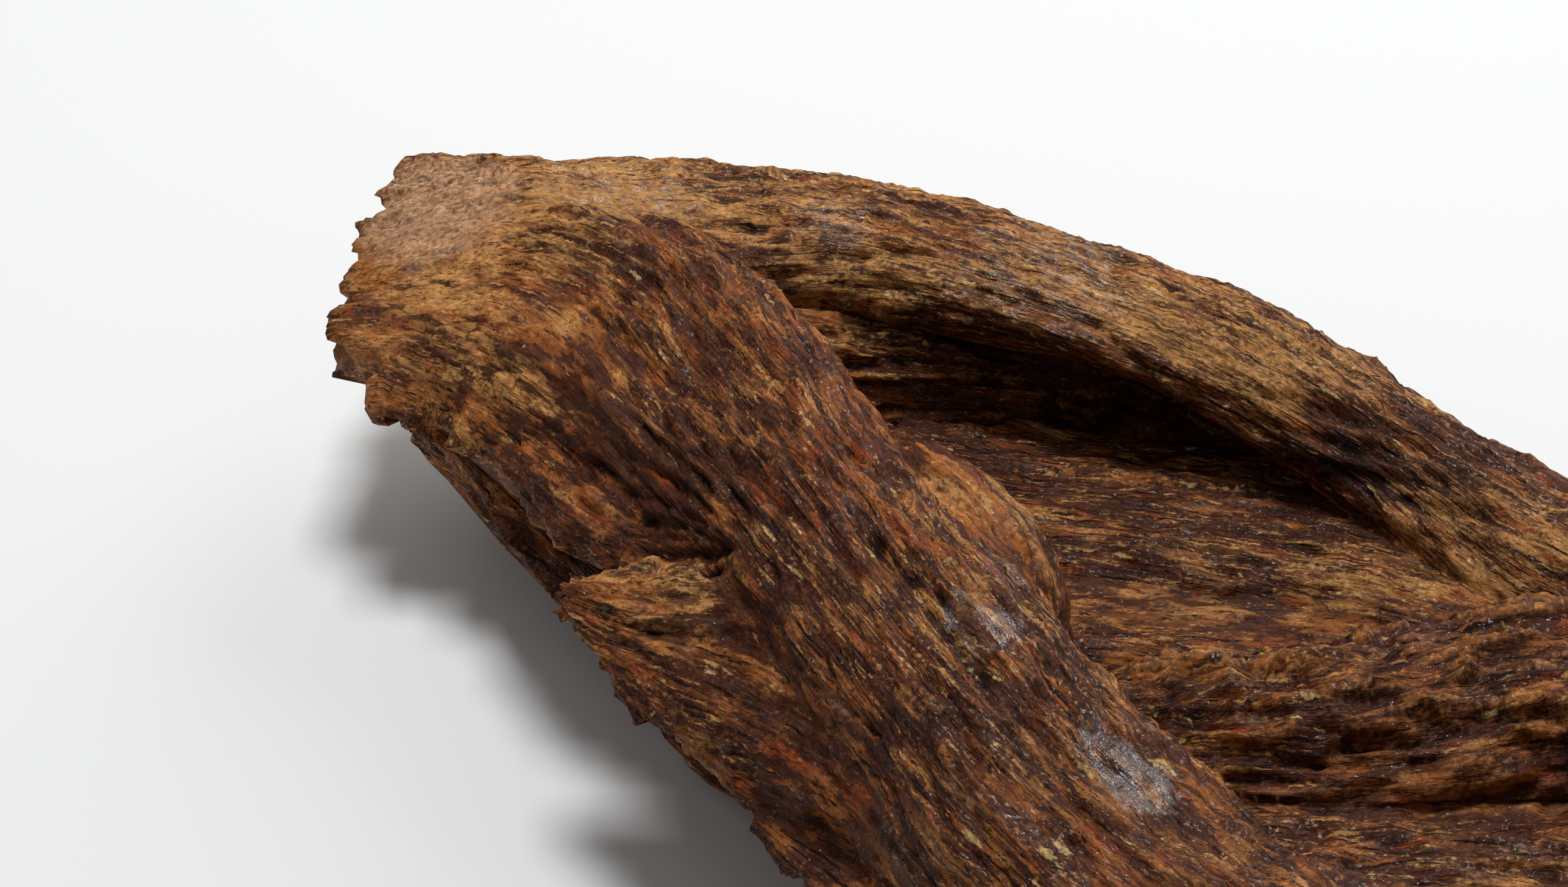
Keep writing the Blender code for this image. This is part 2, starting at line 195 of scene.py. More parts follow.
TONGUE_LOW = [
    (-1, -21, 10.9, 0.8, 0.7, -20),
    (1, -22.6, 10.9, 1.8, 0.9, -20),
    (6, -27.4, 10.7, 2.7, 1.2, -10),
    (11.6, -32.2, 10.4, 2.4, 1.2, 0),
]
FOOT_FRONT = [
    (-5, -2, 2.4, 2.8, 2.6, 0),
    (-1, -6, 1.8, 3.4, 2.6, 0),
    (4, -9, 2.4, 2.8, 2.6, 0),
]
FOOT_BACK = [
    (12, 26, 2.6, 2.8, 2.6, 0),
    (17, 25, 1.9, 3.4, 2.6, 0),
    (22, 23, 2.6, 2.8, 2.6, 0),
]
FOOT_RIGHT = [
    (51, -25, 2.6, 3, 2.6, 0),
    (56, -24.5, 1.9, 3.6, 2.6, 0),
    (61, -24, 2.6, 3, 2.6, 0),
]
LIMBS = {
    "front_arm": FRONT_ARM,
    "back_arm": BACK_ARM,
    "back_wall": BACK_WALL,
    "crotch_wall": CROTCH_WALL,
    "floor": FLOOR,
    "mid_floor": MID_FLOOR,
    "near_floor": NEAR_FLOOR,
    "front_lobe": FRONT_LOBE,
    "keel": KEEL,
    "under_arm": UNDER_ARM,
    "upper_fin": UPPER_FIN,
    "tooth": TOOTH,
    "lower_fin": LOWER_FIN,
    "head_tooth": HEAD_TOOTH,
    "shoulder": SHOULDER,
    "tongue_high": TONGUE_HIGH,
    "tongue_low": TONGUE_LOW,
    "foot_front": FOOT_FRONT,
    "foot_back": FOOT_BACK,
    "foot_right": FOOT_RIGHT,
    "pinch_fin": PINCH_FIN,
    "slope": SLOPE,
}
# How strongly a limb carries each layer of the relief: its swells, crests, grooves and crags.
SKIN = {
    "front_arm": (1, 0.6, 0.5, 0.15),
    "back_arm": (1, 0.6, 0.55, 0.3),
    "back_wall": (1, 1, 1, 1),
    "crotch_wall": (1, 1, 1, 1.3),
    "floor": (1, 0.5, 0.4, 0.45),
    "mid_floor": (1, 0.6, 0.5, 0.6),
    "near_floor": (1, 0.9, 0.8, 1),
    "front_lobe": (1, 1.5, 1.5, 1.4),
    "keel": (1, 1, 1, 0.6),
    "under_arm": (1, 1, 1, 0.6),
}
USUAL_SKIN = (1, 0.8, 0.8, 0.3)
FINS = ("upper_fin", "pinch_fin", "tooth", "lower_fin", "tongue_high", "tongue_low")

# A chip off the top of the head: a point on it and its normal.
CHIP_POINT = (-17.8, 29, 18.6)
CHIP_NORMAL = (-0.33, -0.083, 0.94)

# The middle of the solid's outline in the design frame. The solid and the skin stand with it at the origin.
MIDDLE = (23.202, -8.243, 0)

SECTION_SIDES = 28
STATION_STEPS = 10
VOXEL = 0.28
SOFTENING = 4  # passes of smoothing after the limbs are fused

# A fin's half width swings by this share of itself, over this length of its edge, in layers of this height.
FIN_RAG = 0.22
FIN_RAG_LENGTH = 1.6
LAYER_RAG = 0.13
LAYER_RAG_LENGTH = 0.9
LAYER_HEIGHT = 0.55
LAYER_SCATTER = 3.3  # how far apart in the noise two layers are

# A broken end steps in and out by TORN_DEPTH in cells of fibres, and each cell's face is a little uneven.
TORN_DEPTH = 2.6
TORN_CELL = (2.4, 1.5)
TORN_STEPS = 2.5
TORN_UNEVEN = 0.4
TORN_OUTWARD = 0.35
FULL_TEAR = 4  # limbs thinner than twice this tear less deeply
END_RINGS = (0.12, 0.4, 0.68, 0.9)

# The relief of the skin: amplitude, length along the grain, length across it, and its shape.
RELIEF = [
    (1.1, 17, 9, "swelling"),
    (0.6, 14, 3.4, "crested"),
    (0.4, 8, 1.7, "furrowed"),
    (0.4, 4.2, 1.5, "crested"),
]
# The finer relief, which the solid leaves to the skin.
FINE_RELIEF = [
    (0.24, 5, 1.2, "furrowed"),
    (0.16, 2.4, 0.8, "crested"),
    (0.1, 0.9, 0.6, "swelling"),
]
# How much stronger the fine relief stands on some limbs.
FINE_SKIN = {
    "slope": 2,
    "pinch_fin": 1.6,
    "tooth": 1.9,
    "lower_fin": 1.6,
    "upper_fin": 1.5,
    "back_arm": 1.3,
    "front_arm": 1.15,
}
CALM = ((-27.5, 21, 13), 6, 0.6)  # where the head's end is worn, and how much less relief it has
PIT = ((-4.1, -6.9, 17), 0.6, 1.3)  # a small pit beside the pinch: its place, radius and depth

# Creases cut along the grain, in mm: how deep, how wide, and the line on the skin. The first ones fan out
# from the pinch over the head's slope, the next run along the tooth and the front arm, and the last along
# the back arm.
CREASES = [
    (0.9, 0.38, [
        (-3.1, -6.6, 18.8), (-4.7, -5.3, 17.1), (-6.5, -4.2, 16.3), (-8.3, -2.9, 15.4), (-10.7, -1.3, 14.5),
    ]),
    (0.7, 0.32, [(-3.4, -6.1, 18.7), (-6.2, -3.6, 16.9), (-9.8, -0.9, 15.4), (-12.7, 0.9, 14.7)]),
    (0.8, 0.34, [(-4, -5.2, 18.5), (-6.9, -2.1, 16.9), (-10.2, 0.2, 15.5), (-14.6, 3.6, 14.3)]),
    (0.6, 0.32, [(-4.4, -4.3, 18.5), (-6.5, -1.8, 17.7), (-9.5, 1.7, 16.2), (-12, 3.1, 15.6)]),
    (0.55, 0.32, [(-3.7, -4.5, 19.1), (-5.8, -1.5, 18.7), (-8, 1.6, 18.1), (-9.9, 4.2, 17.4)]),
    (0.7, 0.4, [(-2.8, -5.3, 19.8), (-5.7, -0.2, 19.5), (-7.9, 3, 19.1), (-10.3, 7.5, 19.1)]),
    (0.8, 0.4, [
        (-1.8, -5.8, 20.4), (-4.4, -0.8, 20), (-6.8, 3.2, 19.8), (-9.2, 7.2, 19.2), (-10.8, 10.3, 19.1),
    ]),
    (0.6, 0.36, [(-9.9, 2.4, 16.3), (-11.7, 5, 16.1), (-14, 8, 16), (-15.6, 10.1, 16.3)]),
    (0.6, 0.36, [(-11.1, 2.9, 15.8), (-13, 5.9, 15.6), (-15.6, 9.1, 15.2)]),
    (0.5, 0.34, [(-4.5, -8.9, 17.2), (-7.8, -8.5, 16.4), (-11.3, -7, 15.5)]),
    (0.5, 0.34, [(-4.7, -9.8, 16.9), (-8.1, -9.2, 16.2), (-11.1, -7.9, 15.1)]),
    (0.5, 0.34, [(-5, -10.9, 16.2), (-7.8, -10.1, 15.7), (-10.4, -8.5, 15.4)]),
    (0.8, 0.45, [
        (4.7, -9.5, 22.1), (6.3, -12.2, 21.9), (7.8, -13.8, 21.9), (9.4, -16.5, 22), (10.6, -19.5, 22),
    ]),
    (0.5, 0.36, [(-1.4, -4.5, 21.2), (-0.1, -6.7, 21.6), (1.3, -8.5, 22)]),
    (0.6, 0.4, [(-3.2, -0.2, 20.4), (-0.9, -4.7, 21.5), (1.5, -9, 22), (4.5, -13.7, 21.9)]),
    (0.5, 0.36, [(3.4, -15.6, 20.9), (5, -19.6, 21.2), (6.3, -22.2, 21.4)]),
    (0.7, 0.5, [(7.1, -14.3, 21.7), (8.7, -17.8, 21.9), (10.5, -21.9, 21.9), (12, -25, 22.1)]),
    (0.7, 0.4, [(7.3, -5.8, 22.4), (9.4, -6.2, 21), (11.5, -8.7, 20.8)]),
    (0.5, 0.36, [(2.9, -0.4, 22.6), (4.1, -2.9, 22.5), (5.6, -5.1, 22.5)]),
    (0.5, 0.36, [(0.5, -11.1, 20.6), (2, -13.8, 20.7), (3.7, -17.8, 21), (5.3, -21.1, 20.9)]),
    (0.5, 0.4, [(11.7, -23.4, 22), (13.9, -26.3, 21.6), (16.3, -29.4, 20.9)]),
    (0.5, 0.4, [(3.1, -20, 19), (5, -23.6, 19.2), (6.8, -27.6, 19.3)]),
    (0.5, 0.4, [(8.8, -24.6, 21.7), (10.6, -27.8, 21.6), (13, -31.2, 20.9)]),
    (0.8, 0.55, [(30.7, 12.1, 15), (33.6, 11.1, 14.6), (36.1, 10.3, 14.2), (37.9, 9.6, 13.9)]),
    (1, 0.7, [(31.7, 10.1, 13.7), (34.5, 9, 13.6), (37, 8.5, 13.6), (40, 8.5, 13.4)]),
    (0.9, 0.8, [(31.8, 9.4, 12), (34.5, 7.7, 12.1), (38, 6.5, 12.8), (41.5, 5.9, 12.9)]),
    (0.8, 0.6, [(36.6, 6.4, 12.2), (40, 4.8, 12.1), (43.8, 3.3, 12.4)]),
]
CREASE_STEPS = 14
CREASE_REACH = 2  # how far off the skin a crease's line may lie
CREASE_START = 0.5  # a crease is this deep at its start, as a share of its full depth
CREASE_DEEPENING = 4  # how fast it then reaches its full depth, as a share for each of its lengths
OUT_OF_REACH = 100  # added to what lies too far off the skin, so that no crease cuts it
CREST_SHARPNESS = 0.7
FULL_RELIEF = 4.5  # limbs thinner than twice this carry less relief, down to LEAST_RELIEF of it
LEAST_RELIEF = 0.25
LEAST_FINE_RELIEF = 0.85  # the fine relief is nearly as strong on the thin fins
GRAIN_SWITCH = 6  # how sharply the grain passes from one limb's direction to the next
GRAIN_SHARE = 0.02  # a limb with a smaller share than this is left out at a point
END_SLACK = 2  # how far past its end a limb still owns the skin
LIMB_STRIDE = 41  # how far apart along the patterns two limbs start, so that they don't repeat each other

TRIANGLES = 196000
UNDERSIDE_SHARE = 3  # how much more readily the underside is drawn with fewer triangles
UNDERSIDE_SLOPE = -0.3  # the skin whose normal points lower than this is the underside
KEPT_WEIGHT = 0.1  # how readily the rest is

# How much resin each limb holds, and how dry, pale and powdery its fibres are, from 0 to 1.
RESIN = {
    "front_lobe": 0.75,
    "near_floor": 0.55,
    "lower_fin": 0.55,
    "under_arm": 0.7,
    "keel": 0.6,
    # The back wall's high resin is painted shade as well: it darkens the slit under the back arm.
    "back_wall": 0.9,
    "crotch_wall": 0.5,
    "tooth": 0.4,
    "back_arm": 0.15,
    "head_tooth": 0.35,
    "floor": 0.5,
}
USUAL_RESIN = 0.45
DRY = {
    "tooth": 0.45,
    "pinch_fin": 0.3,
    "back_arm": 0.95,
    "upper_fin": 0.35,
    "head_tooth": 0.4,
    "lower_fin": 0.35,
    "near_floor": 0.45,
    "floor": 0.3,
}

# Spots where there is more resin, more dry wood or a rubbed polish: a place, its radius and how strong it is.
# Some of the resin and dry spots are painted shade instead.
RESIN_AND_SHADE_SPOTS = [
    ((-6.5, 0, 18.5), 3, 0.5),
    ((-1.5, -11, 17), 3, 0.5),
    ((1, -6, 20), 2.5, 0.2),
    ((14, -24, 21), 2.6, 0.3),
    ((-19, 18, 16), 10, -0.35),
    ((11.5, -4, 20.5), 4, -0.3),
    # The next three resin spots are painted shade: they darken the floor by the crotch and the slit under the
    # back arm.
    ((9, 17, 8.3), 6, 0.35),
    ((38, 7.5, 12.8), 6.5, 0.5),
    ((33, 9, 11), 4, 0.5),
    ((36, 3, 9.3), 6, -0.45),
    ((8, -26, 20), 5, 0.25),
]
DRY_AND_SHADE_SPOTS = [
    ((30, 13.5, 16), 2.6, 1.2),
    ((-10.5, 27.5, 19.5), 6, 0.9),
    ((-19, 18, 16), 10, 0.6),
    ((11, -4.5, 21), 4, 0.6),
    ((24, -0.8, 6.8), 4.5, 0.6),
    ((24.5, -32.3, 18.5), 2.6, 0.7),
    ((11.5, -3.6, 20.6), 3, 0.4),
    ((-5.2, -7.6, 16.8), 2.2, 1),
    ((-6.5, -3.6, 16.6), 2.6, 0.5),
    ((13, -15, 21.5), 5, 0.35),
    ((28, -10, 11.5), 5, 0.4),
    ((-6, 3.2, 19.8), 3, 0.3),
    # The next two take dryness away as painted shade, in the slit under the back arm.
    ((38, 7.5, 12.8), 6.5, -0.6),
    ((33, 9, 11), 4, -0.6),
    ((4, 21.5, 13.5), 5, 0.5),
    ((17.5, -27, 21), 4, 0.5),
    ((10.5, -17, 22.3), 3.4, 0.4),
    ((36, 3, 9.3), 6, 0.8),
    ((12, -12, 21.6), 3, 0.25),
]
POLISHED_SPOTS = [
    ((17, -26.3, 21.1), 2, 1.4),
    ((18.6, -28.4, 20.5), 2.2, 2.2),
    ((9.8, -15.9, 22.3), 1.5, 1.8),
    ((11.2, -18.1, 22.3), 1.7, 2),
    ((12.5, -12, 21.5), 2.4, 0.8),
    ((4, -6, 22), 2.4, 0.6),
    ((3.2, 26.4, 18), 3, 0.9),
    ((-10, 28, 19.2), 6, 0.8),
    ((16, 21, 17), 7, 0.8),
    ((23.9, 7.5, 8.3), 2, 0.7),
]
CHIP_SPOT = ((-21.5, 29.5, 17.5), 6.5, 1)
CHIP_FADE = 4  # how fast the chip's colour comes in with the depth that is struck off
SPOT_EDGE = 4  # how firm the edge of a spot is
# The wood's broad zones: how much the note swings, their length along the grain and their width across it.
RESIN_ZONES = [(0.3, 11, 3.5, "swelling")]
DRY_ZONES = [(0.5, 11, 3.5, "swelling")]
FIRST_RESIN_ZONE, FIRST_DRY_ZONE = 10, 11  # their numbers follow the relief's, so each has its own noise

# Odd multipliers that scatter the lattice of the noise.
SCATTER = (374761393, 668265263, 1103515245)
SEED_STEP = 1274126177
LOW_BITS = 0xFFFFFFFF
NOISE_GAIN = 1.7  # brings the noise to about -1 to 1
CHUNK = 20000  # how many points are set against the limbs at a time


def noise_at(points, seed):
    """Gradient noise, about -1 to 1, at all the points at once."""
    cell = np.floor(points)
    part = points - cell
    fade = part**3 * (part * (part * 6 - 15) + 10)
    total = np.zeros(len(points))
    for corner in itertools.product((0, 1), repeat=3):
        code = ((cell + corner).astype(np.int64) @ np.array(SCATTER) + seed * SEED_STEP) & LOW_BITS
        code = ((code ^ (code >> 13)) * SEED_STEP) & LOW_BITS
        code = ((code ^ (code >> 16)) * SCATTER[1]) & LOW_BITS
        slope = np.stack([(code >> shift & 1023) / 511.5 - 1 for shift in (2, 12, 22)], axis=1)
        weight = np.prod(np.where(corner, fade, 1 - fade), axis=1)
        total += weight * np.sum(slope * (part - corner), axis=1)
    return total * NOISE_GAIN


def sampled(stations, steps=STATION_STEPS):
    """The stations joined by a Catmull-Rom curve through all of their values."""
    points = np.array(stations, float)
    ends = np.vstack([2 * points[0] - points[1], points, 2 * points[-1] - points[-2]])
    rows = []
    for a, b, c, d in zip(ends, ends[1:], ends[2:], ends[3:]):
        for t in np.arange(steps) / steps:
            bend = (2 * a - 5 * b + 4 * c - d) * t**2 + (3 * b - a - 3 * c + d) * t**3
            rows.append(0.5 * (2 * b + (c - a) * t + bend))
    return np.array(rows + [points[-1]])


def travelled(rows):
    """The distance along a limb to each of its rows."""
    return np.cumsum(np.linalg.norm(np.diff(rows[:, :3], axis=0, prepend=rows[:1, :3]), axis=1))


def directions(rows):
    """The tangent, side and up vectors at each row of a limb, rolled about the tangent."""
    tangent = np.gradient(rows[:, :3], axis=0)
    tangent /= np.linalg.norm(tangent, axis=1, keepdims=True)
    side = np.cross(tangent, [0, 0, 1])
    side /= np.linalg.norm(side, axis=1, keepdims=True)
    up = np.cross(side, tangent)
    roll = np.radians(rows[:, 5:6])
    return tangent, side * np.cos(roll) + up * np.sin(roll), up * np.cos(roll) - side * np.sin(roll)


def limb(name, stations):
    """A closed loft of oval sections along the stations, with torn ends and, on a fin, ragged edges."""
    seed = list(LIMBS).index(name)
    rows = sampled(stations)
    run = travelled(rows)
    if name in FINS:
        places = np.outer(run / FIN_RAG_LENGTH, (1, 0, 0)) + (0, 0, 0.5)
        rows[:, 3] *= 1 + FIN_RAG * noise_at(places, seed)
    tangent, side, up = directions(rows)
    turns = [2 * math.pi * i / SECTION_SIDES for i in range(SECTION_SIDES)]
    mesh = bmesh.new()

    def ring(i, scale, push):
        """One section, drawn in by scale; push moves its points along the limb by torn steps."""
        x, y = rows[i, 3] * scale, rows[i, 4] * scale
        flat = np.array([(x * math.cos(a), y * math.sin(a)) for a in turns])
        if name in FINS:
            layer = np.round(flat[:, 1] / LAYER_HEIGHT)
            along = np.full(len(flat), run[i] / LAYER_RAG_LENGTH)
            spots = np.column_stack([along, layer * LAYER_SCATTER, flat[:, 0] * 0])
            flat[:, 0] *= 1 + LAYER_RAG * noise_at(spots + 0.5, seed + 80)
        places = rows[i, :3] + flat[:, :1] * side[i] + flat[:, 1:] * up[i]
        if push:
            cells = np.column_stack([flat / TORN_CELL, np.full(len(flat), 0.5)])
            steps = np.round(noise_at(cells, seed + 40) * TORN_STEPS) / TORN_STEPS
            steps += TORN_UNEVEN * noise_at(cells * 2.1, seed + 60) + TORN_OUTWARD
            reach = push * TORN_DEPTH * min(1, rows[i, 4] / FULL_TEAR)
            places = places + np.outer(reach * steps, tangent[i])
        return [mesh.verts.new(Vector(p) * MM) for p in places]

    last = len(rows) - 1
    rings = [ring(0, scale, -1) for scale in END_RINGS]
    rings += [ring(i, 1, 0) for i in range(last + 1)]
    rings += [ring(last, scale, 1) for scale in reversed(END_RINGS)]
    for a, b in zip(rings, rings[1:]):
        for i in range(SECTION_SIDES):
            j = (i + 1) % SECTION_SIDES
            mesh.faces.new((a[i], a[j], b[j], b[i]))
    mesh.faces.new(rings[0])
    mesh.faces.new(rings[-1])
    bmesh.ops.recalc_face_normals(mesh, faces=mesh.faces)
    data = bpy.data.meshes.new(name)
    mesh.to_mesh(data)
    mesh.free()
    made = bpy.data.objects.new(name, data)
    bpy.context.scene.collection.objects.link(made)
    return made


def applied(piece):
    """The piece with its modifiers worked into its mesh."""
    graph = bpy.context.evaluated_depsgraph_get()
    data = bpy.data.meshes.new_from_object(piece.evaluated_get(graph))
    piece.modifiers.clear()
    piece.data = data
    return piece


def fused(limbs, name, voxel):
    """The limbs joined and grown together by a voxel Remesh."""
    bpy.ops.object.select_all(action="DESELECT")
    for one in limbs:
        one.select_set(True)
    bpy.context.view_layer.objects.active = limbs[0]
    bpy.ops.object.join()
    piece = bpy.context.view_layer.objects.active
    piece.name = name
    remesh = piece.modifiers.new("Fuse", "REMESH")
    remesh.mode = "VOXEL"
    remesh.voxel_size = voxel * MM
    smooth = piece.modifiers.new("Soften", "SMOOTH")
    smooth.factor = 0.5
    smooth.iterations = SOFTENING
    return applied(piece)


def grain(points):
    """Each limb's grain at the points: its share, the places (along, across, up) and the thickness there."""
    shares, places, depths = [], [], []
    for stations in LIMBS.values():
        rows = sampled(stations)
        tangent, side, up = directions(rows)
        run = travelled(rows)
        size = (rows[:, :3] ** 2).sum(axis=1)
        chunks = np.split(points, range(CHUNK, len(points), CHUNK))
        near = np.concatenate([np.argmin(size - 2 * some @ rows[:, :3].T, axis=1) for some in chunks])
        away = points - rows[near, :3]
        along = (away * tangent[near]).sum(axis=1)
        across = (away * side[near]).sum(axis=1) / rows[near, 3]
        above = (away * up[near]).sum(axis=1) / rows[near, 4]
        beyond = np.maximum(np.abs(along) - END_SLACK, 0) / rows[near, 4]
        radius = np.sqrt(across**2 + above**2 + beyond**2)
        shares.append(np.exp(-GRAIN_SWITCH * np.clip(radius - 1, -0.3, 4)))
        across *= rows[:, 3].mean()
        above *= rows[:, 4].mean()
        places.append(np.column_stack([run[near] + along, across, above]))
        depths.append(rows[near, 4])
    shares = np.array(shares)
    return shares / shares.sum(axis=0), np.array(places), np.array(depths)


def relief(grown, layers, first, least):
    """How far the skin stands out: noise drawn out along the grain of the limbs at each point."""
    shares, places, depths = grown
    height = np.zeros(shares.shape[1])
    for n, (amplitude, long, short, shape) in enumerate(layers, first):
        for seed, (name, share, place) in enumerate(zip(LIMBS, shares, places)):
            there = share > GRAIN_SHARE
            value = noise_at(place[there] / (long, short, short), 30 * n + seed + 1)
            if shape == "furrowed":
                value = 2 * np.sqrt(np.abs(value)) - 1
            if shape == "crested":
                value = 1 - 2 * np.abs(value) ** CREST_SHARPNESS
            strength = SKIN.get(name, USUAL_SKIN)[n] if n < len(RELIEF) else FINE_SKIN.get(name, 1)
            height[there] += amplitude * strength * share[there] * value
    thickness = (shares * depths).sum(axis=0)
    return height * np.clip(thickness / FULL_RELIEF, least, 1)


def read(mesh, kind):
    """The coordinates or normals of all the mesh's vertices."""
    values = np.empty(len(mesh.vertices) * 3, np.float32)
    mesh.vertices.foreach_get(kind, values)
    return values.reshape(-1, 3).astype(float)


def noted(mesh, name, values, domain="POINT"):
    """Writes numbers or vectors on the mesh as an attribute of that name."""
    kind, field = ("FLOAT", "value") if values.ndim == 1 else ("FLOAT_VECTOR", "vector")
    attribute = mesh.attributes.new(name, kind, domain)
    attribute.data.foreach_set(field, values.astype(np.float32).ravel())


def recalled(mesh, name):
    """What was written on the mesh's vertices under that name."""
    attribute = mesh.attributes[name]
    wide = attribute.data_type == "FLOAT_VECTOR"
    values = np.empty(len(mesh.vertices) * (3 if wide else 1), np.float32)
    attribute.data.foreach_get("vector" if wide else "value", values)
    return values.reshape(-1, 3).astype(float) if wide else values.astype(float)


def spotted(points, spots):
    """How strongly the spots, each a place, radius and strength, mark the points."""
    marks = np.zeros(len(points))
    for place, radius, strength in spots:
        away = np.linalg.norm(points - place, axis=1) / radius
        marks += strength * np.exp(-(away**SPOT_EDGE))
    return marks


def creased(points, normals):
    """How deep the creases cut into the skin at the points. Each is deepest a little past its start."""
    depth = np.zeros(len(points))
    for deep, wide, line in CREASES:
        rows = sampled(line, CREASE_STEPS)
        inside = (points > rows.min(axis=0) - CREASE_REACH) & (points < rows.max(axis=0) + CREASE_REACH)
        near = np.flatnonzero(inside.all(axis=1))
        away = points[near, None] - rows
        out = (away * normals[near, None]).sum(axis=2)
        flat = (away**2).sum(axis=2) - out**2 + (np.abs(out) > CREASE_REACH) * OUT_OF_REACH
        run = flat.argmin(axis=1) / (len(rows) - 1)
        cut = deep * np.exp(-flat.min(axis=1) / wide**2) * np.sqrt(1 - run)
        cut *= np.minimum(CREASE_START + CREASE_DEEPENING * run, 1)
        depth[near] = np.maximum(depth[near], cut)
    return depth


def shaped(piece):
    """The fused form with its chip struck off and its grain raised. It notes where each point was before."""
    mesh = piece.data
    points = read(mesh, "co") / MM
    normal = np.array(CHIP_NORMAL) / np.linalg.norm(CHIP_NORMAL)
    struck = np.maximum((points - CHIP_POINT) @ normal, 0)
    points -= np.outer(struck, normal)
    mesh.vertices.foreach_set("co", (points * MM).ravel())
    mesh.update()
    noted(mesh, "before", points)
    noted(mesh, "chip", np.minimum(struck * CHIP_FADE, 1) * spotted(points, [CHIP_SPOT]))
    grown = grain(points)
    normals = read(mesh, "normal")
    swelling = relief(grown, RELIEF[:1], 0, LEAST_RELIEF)
    ridges = relief(grown, RELIEF, 0, LEAST_RELIEF) - swelling
    ridges += relief(grown, FINE_RELIEF, len(RELIEF), LEAST_FINE_RELIEF)
    ridges *= 1 - spotted(points, [CALM])
    ridges -= PIT[2] * spotted(points, [(PIT[0], PIT[1], 1)]) + creased(points, normals)
    noted(mesh, "ridge", np.clip(ridges, -1, 1))
    points += normals * (swelling + ridges)[:, None]
    mesh.vertices.foreach_set("co", (points * MM).ravel())
    mesh.update()
    easy = piece.vertex_groups.new(name="underside")
    under = normals[:, 2] <= UNDERSIDE_SLOPE
    easy.add(np.flatnonzero(~under).tolist(), KEPT_WEIGHT, "REPLACE")
    easy.add(np.flatnonzero(under).tolist(), 1, "REPLACE")
    return piece


def faceted(piece, triangles):
    """The skin drawn with fewer triangles, and least of all underneath."""
    triangulate = piece.modifiers.new("Triangles", "TRIANGULATE")
    triangulate.keep_custom_normals = False
    applied(piece)
    fewer = piece.modifiers.new("Fewer", "DECIMATE")
    fewer.ratio = triangles / len(piece.data.polygons)
    fewer.vertex_group = "underside"
    fewer.vertex_group_factor = UNDERSIDE_SHARE
    return applied(piece)


def settled(piece):
    """The low points cut flat at the table, and the skin set where the solid stands."""
    mesh = bmesh.new()
    mesh.from_mesh(piece.data)
    everything = mesh.verts[:] + mesh.edges[:] + mesh.faces[:]
    bmesh.ops.bisect_plane(mesh, geom=everything, plane_co=(0, 0, 0), plane_no=(0, 0, -1), clear_outer=True)
    bmesh.ops.holes_fill(mesh, edges=[e for e in mesh.edges if e.is_boundary], sides=0)
    bmesh.ops.triangulate(mesh, faces=[f for f in mesh.faces if len(f.verts) > 3])
    bmesh.ops.recalc_face_normals(mesh, faces=mesh.faces)
    bmesh.ops.translate(mesh, verts=mesh.verts, vec=-Vector(MIDDLE) * MM)
    mesh.to_mesh(piece.data)
    mesh.free()
    return piece


def finished(piece):
    """Notes on the skin what its finish needs: the grain of the two nearest limbs, resin, dryness, polish."""
    mesh = piece.data
    here = recalled(mesh, "before")
    grown = grain(here)
    shares, places, _ = grown
    places[:, :, 0] += LIMB_STRIDE * np.arange(len(LIMBS))[:, None]
    corners = np.empty(len(mesh.loops), np.int32)
    mesh.loops.foreach_get("vertex_index", corners)
    faces = corners.reshape(-1, 3)
    order = np.argsort(-shares[:, faces].sum(axis=2), axis=0)
    nearest, second = np.repeat(order[0], 3), np.repeat(order[1], 3)
    noted(mesh, "grain_nearest", places[nearest, corners], "CORNER")
    noted(mesh, "grain_second", places[second, corners], "CORNER")
    rival = shares[second, corners]
    noted(mesh, "second_share", rival / (rival + shares[nearest, corners]), "CORNER")
    resin = shares.T @ [RESIN.get(name, USUAL_RESIN) for name in LIMBS]
    resin += relief(grown, RESIN_ZONES, FIRST_RESIN_ZONE, 1)
    dry = shares.T @ [DRY.get(name, 0) for name in LIMBS]
    dry += relief(grown, DRY_ZONES, FIRST_DRY_ZONE, 1)
    # The resin and dry notes carry painted shade too, from the back wall and the spots under the back arm.
    noted(mesh, "resin", resin + spotted(here, RESIN_AND_SHADE_SPOTS))
    noted(mesh, "dry", dry + spotted(here, DRY_AND_SHADE_SPOTS))
    noted(mesh, "polish", spotted(here, POLISHED_SPOTS))
    mesh.polygons.foreach_set("use_smooth", np.ones(len(mesh.polygons), bool))
    return piece


def linear(code):
    """An sRGB hex colour as linear red, green and blue, with a full alpha."""
    parts = [int(code[i : i + 2], 16) / 255 for i in (1, 3, 5)]
    return [c / 12.92 if c <= 0.04045 else ((c + 0.055) / 1.055) ** 2.4 for c in parts] + [1]


def add(tree, kind, inputs, **settings):
    """Adds a node with its settings. Each input, by name or number, gets a value or a link to a socket."""
    made = tree.nodes.new(kind)
    for name, value in settings.items():
        setattr(made, name, value)
    for name, value in inputs.items():
        if isinstance(value, bpy.types.NodeSocket):
            tree.links.new(value, made.inputs[name])
        else:
            made.inputs[name].default_value = value
    return made


# The inputs and the output of a Mix node that mixes colours.
COLOUR_BELOW, COLOUR_ABOVE, COLOUR_MIXED = 6, 7, 2
# The same for one that mixes numbers.
NUMBER_BELOW, NUMBER_ABOVE, NUMBER_MIXED = 2, 3, 0
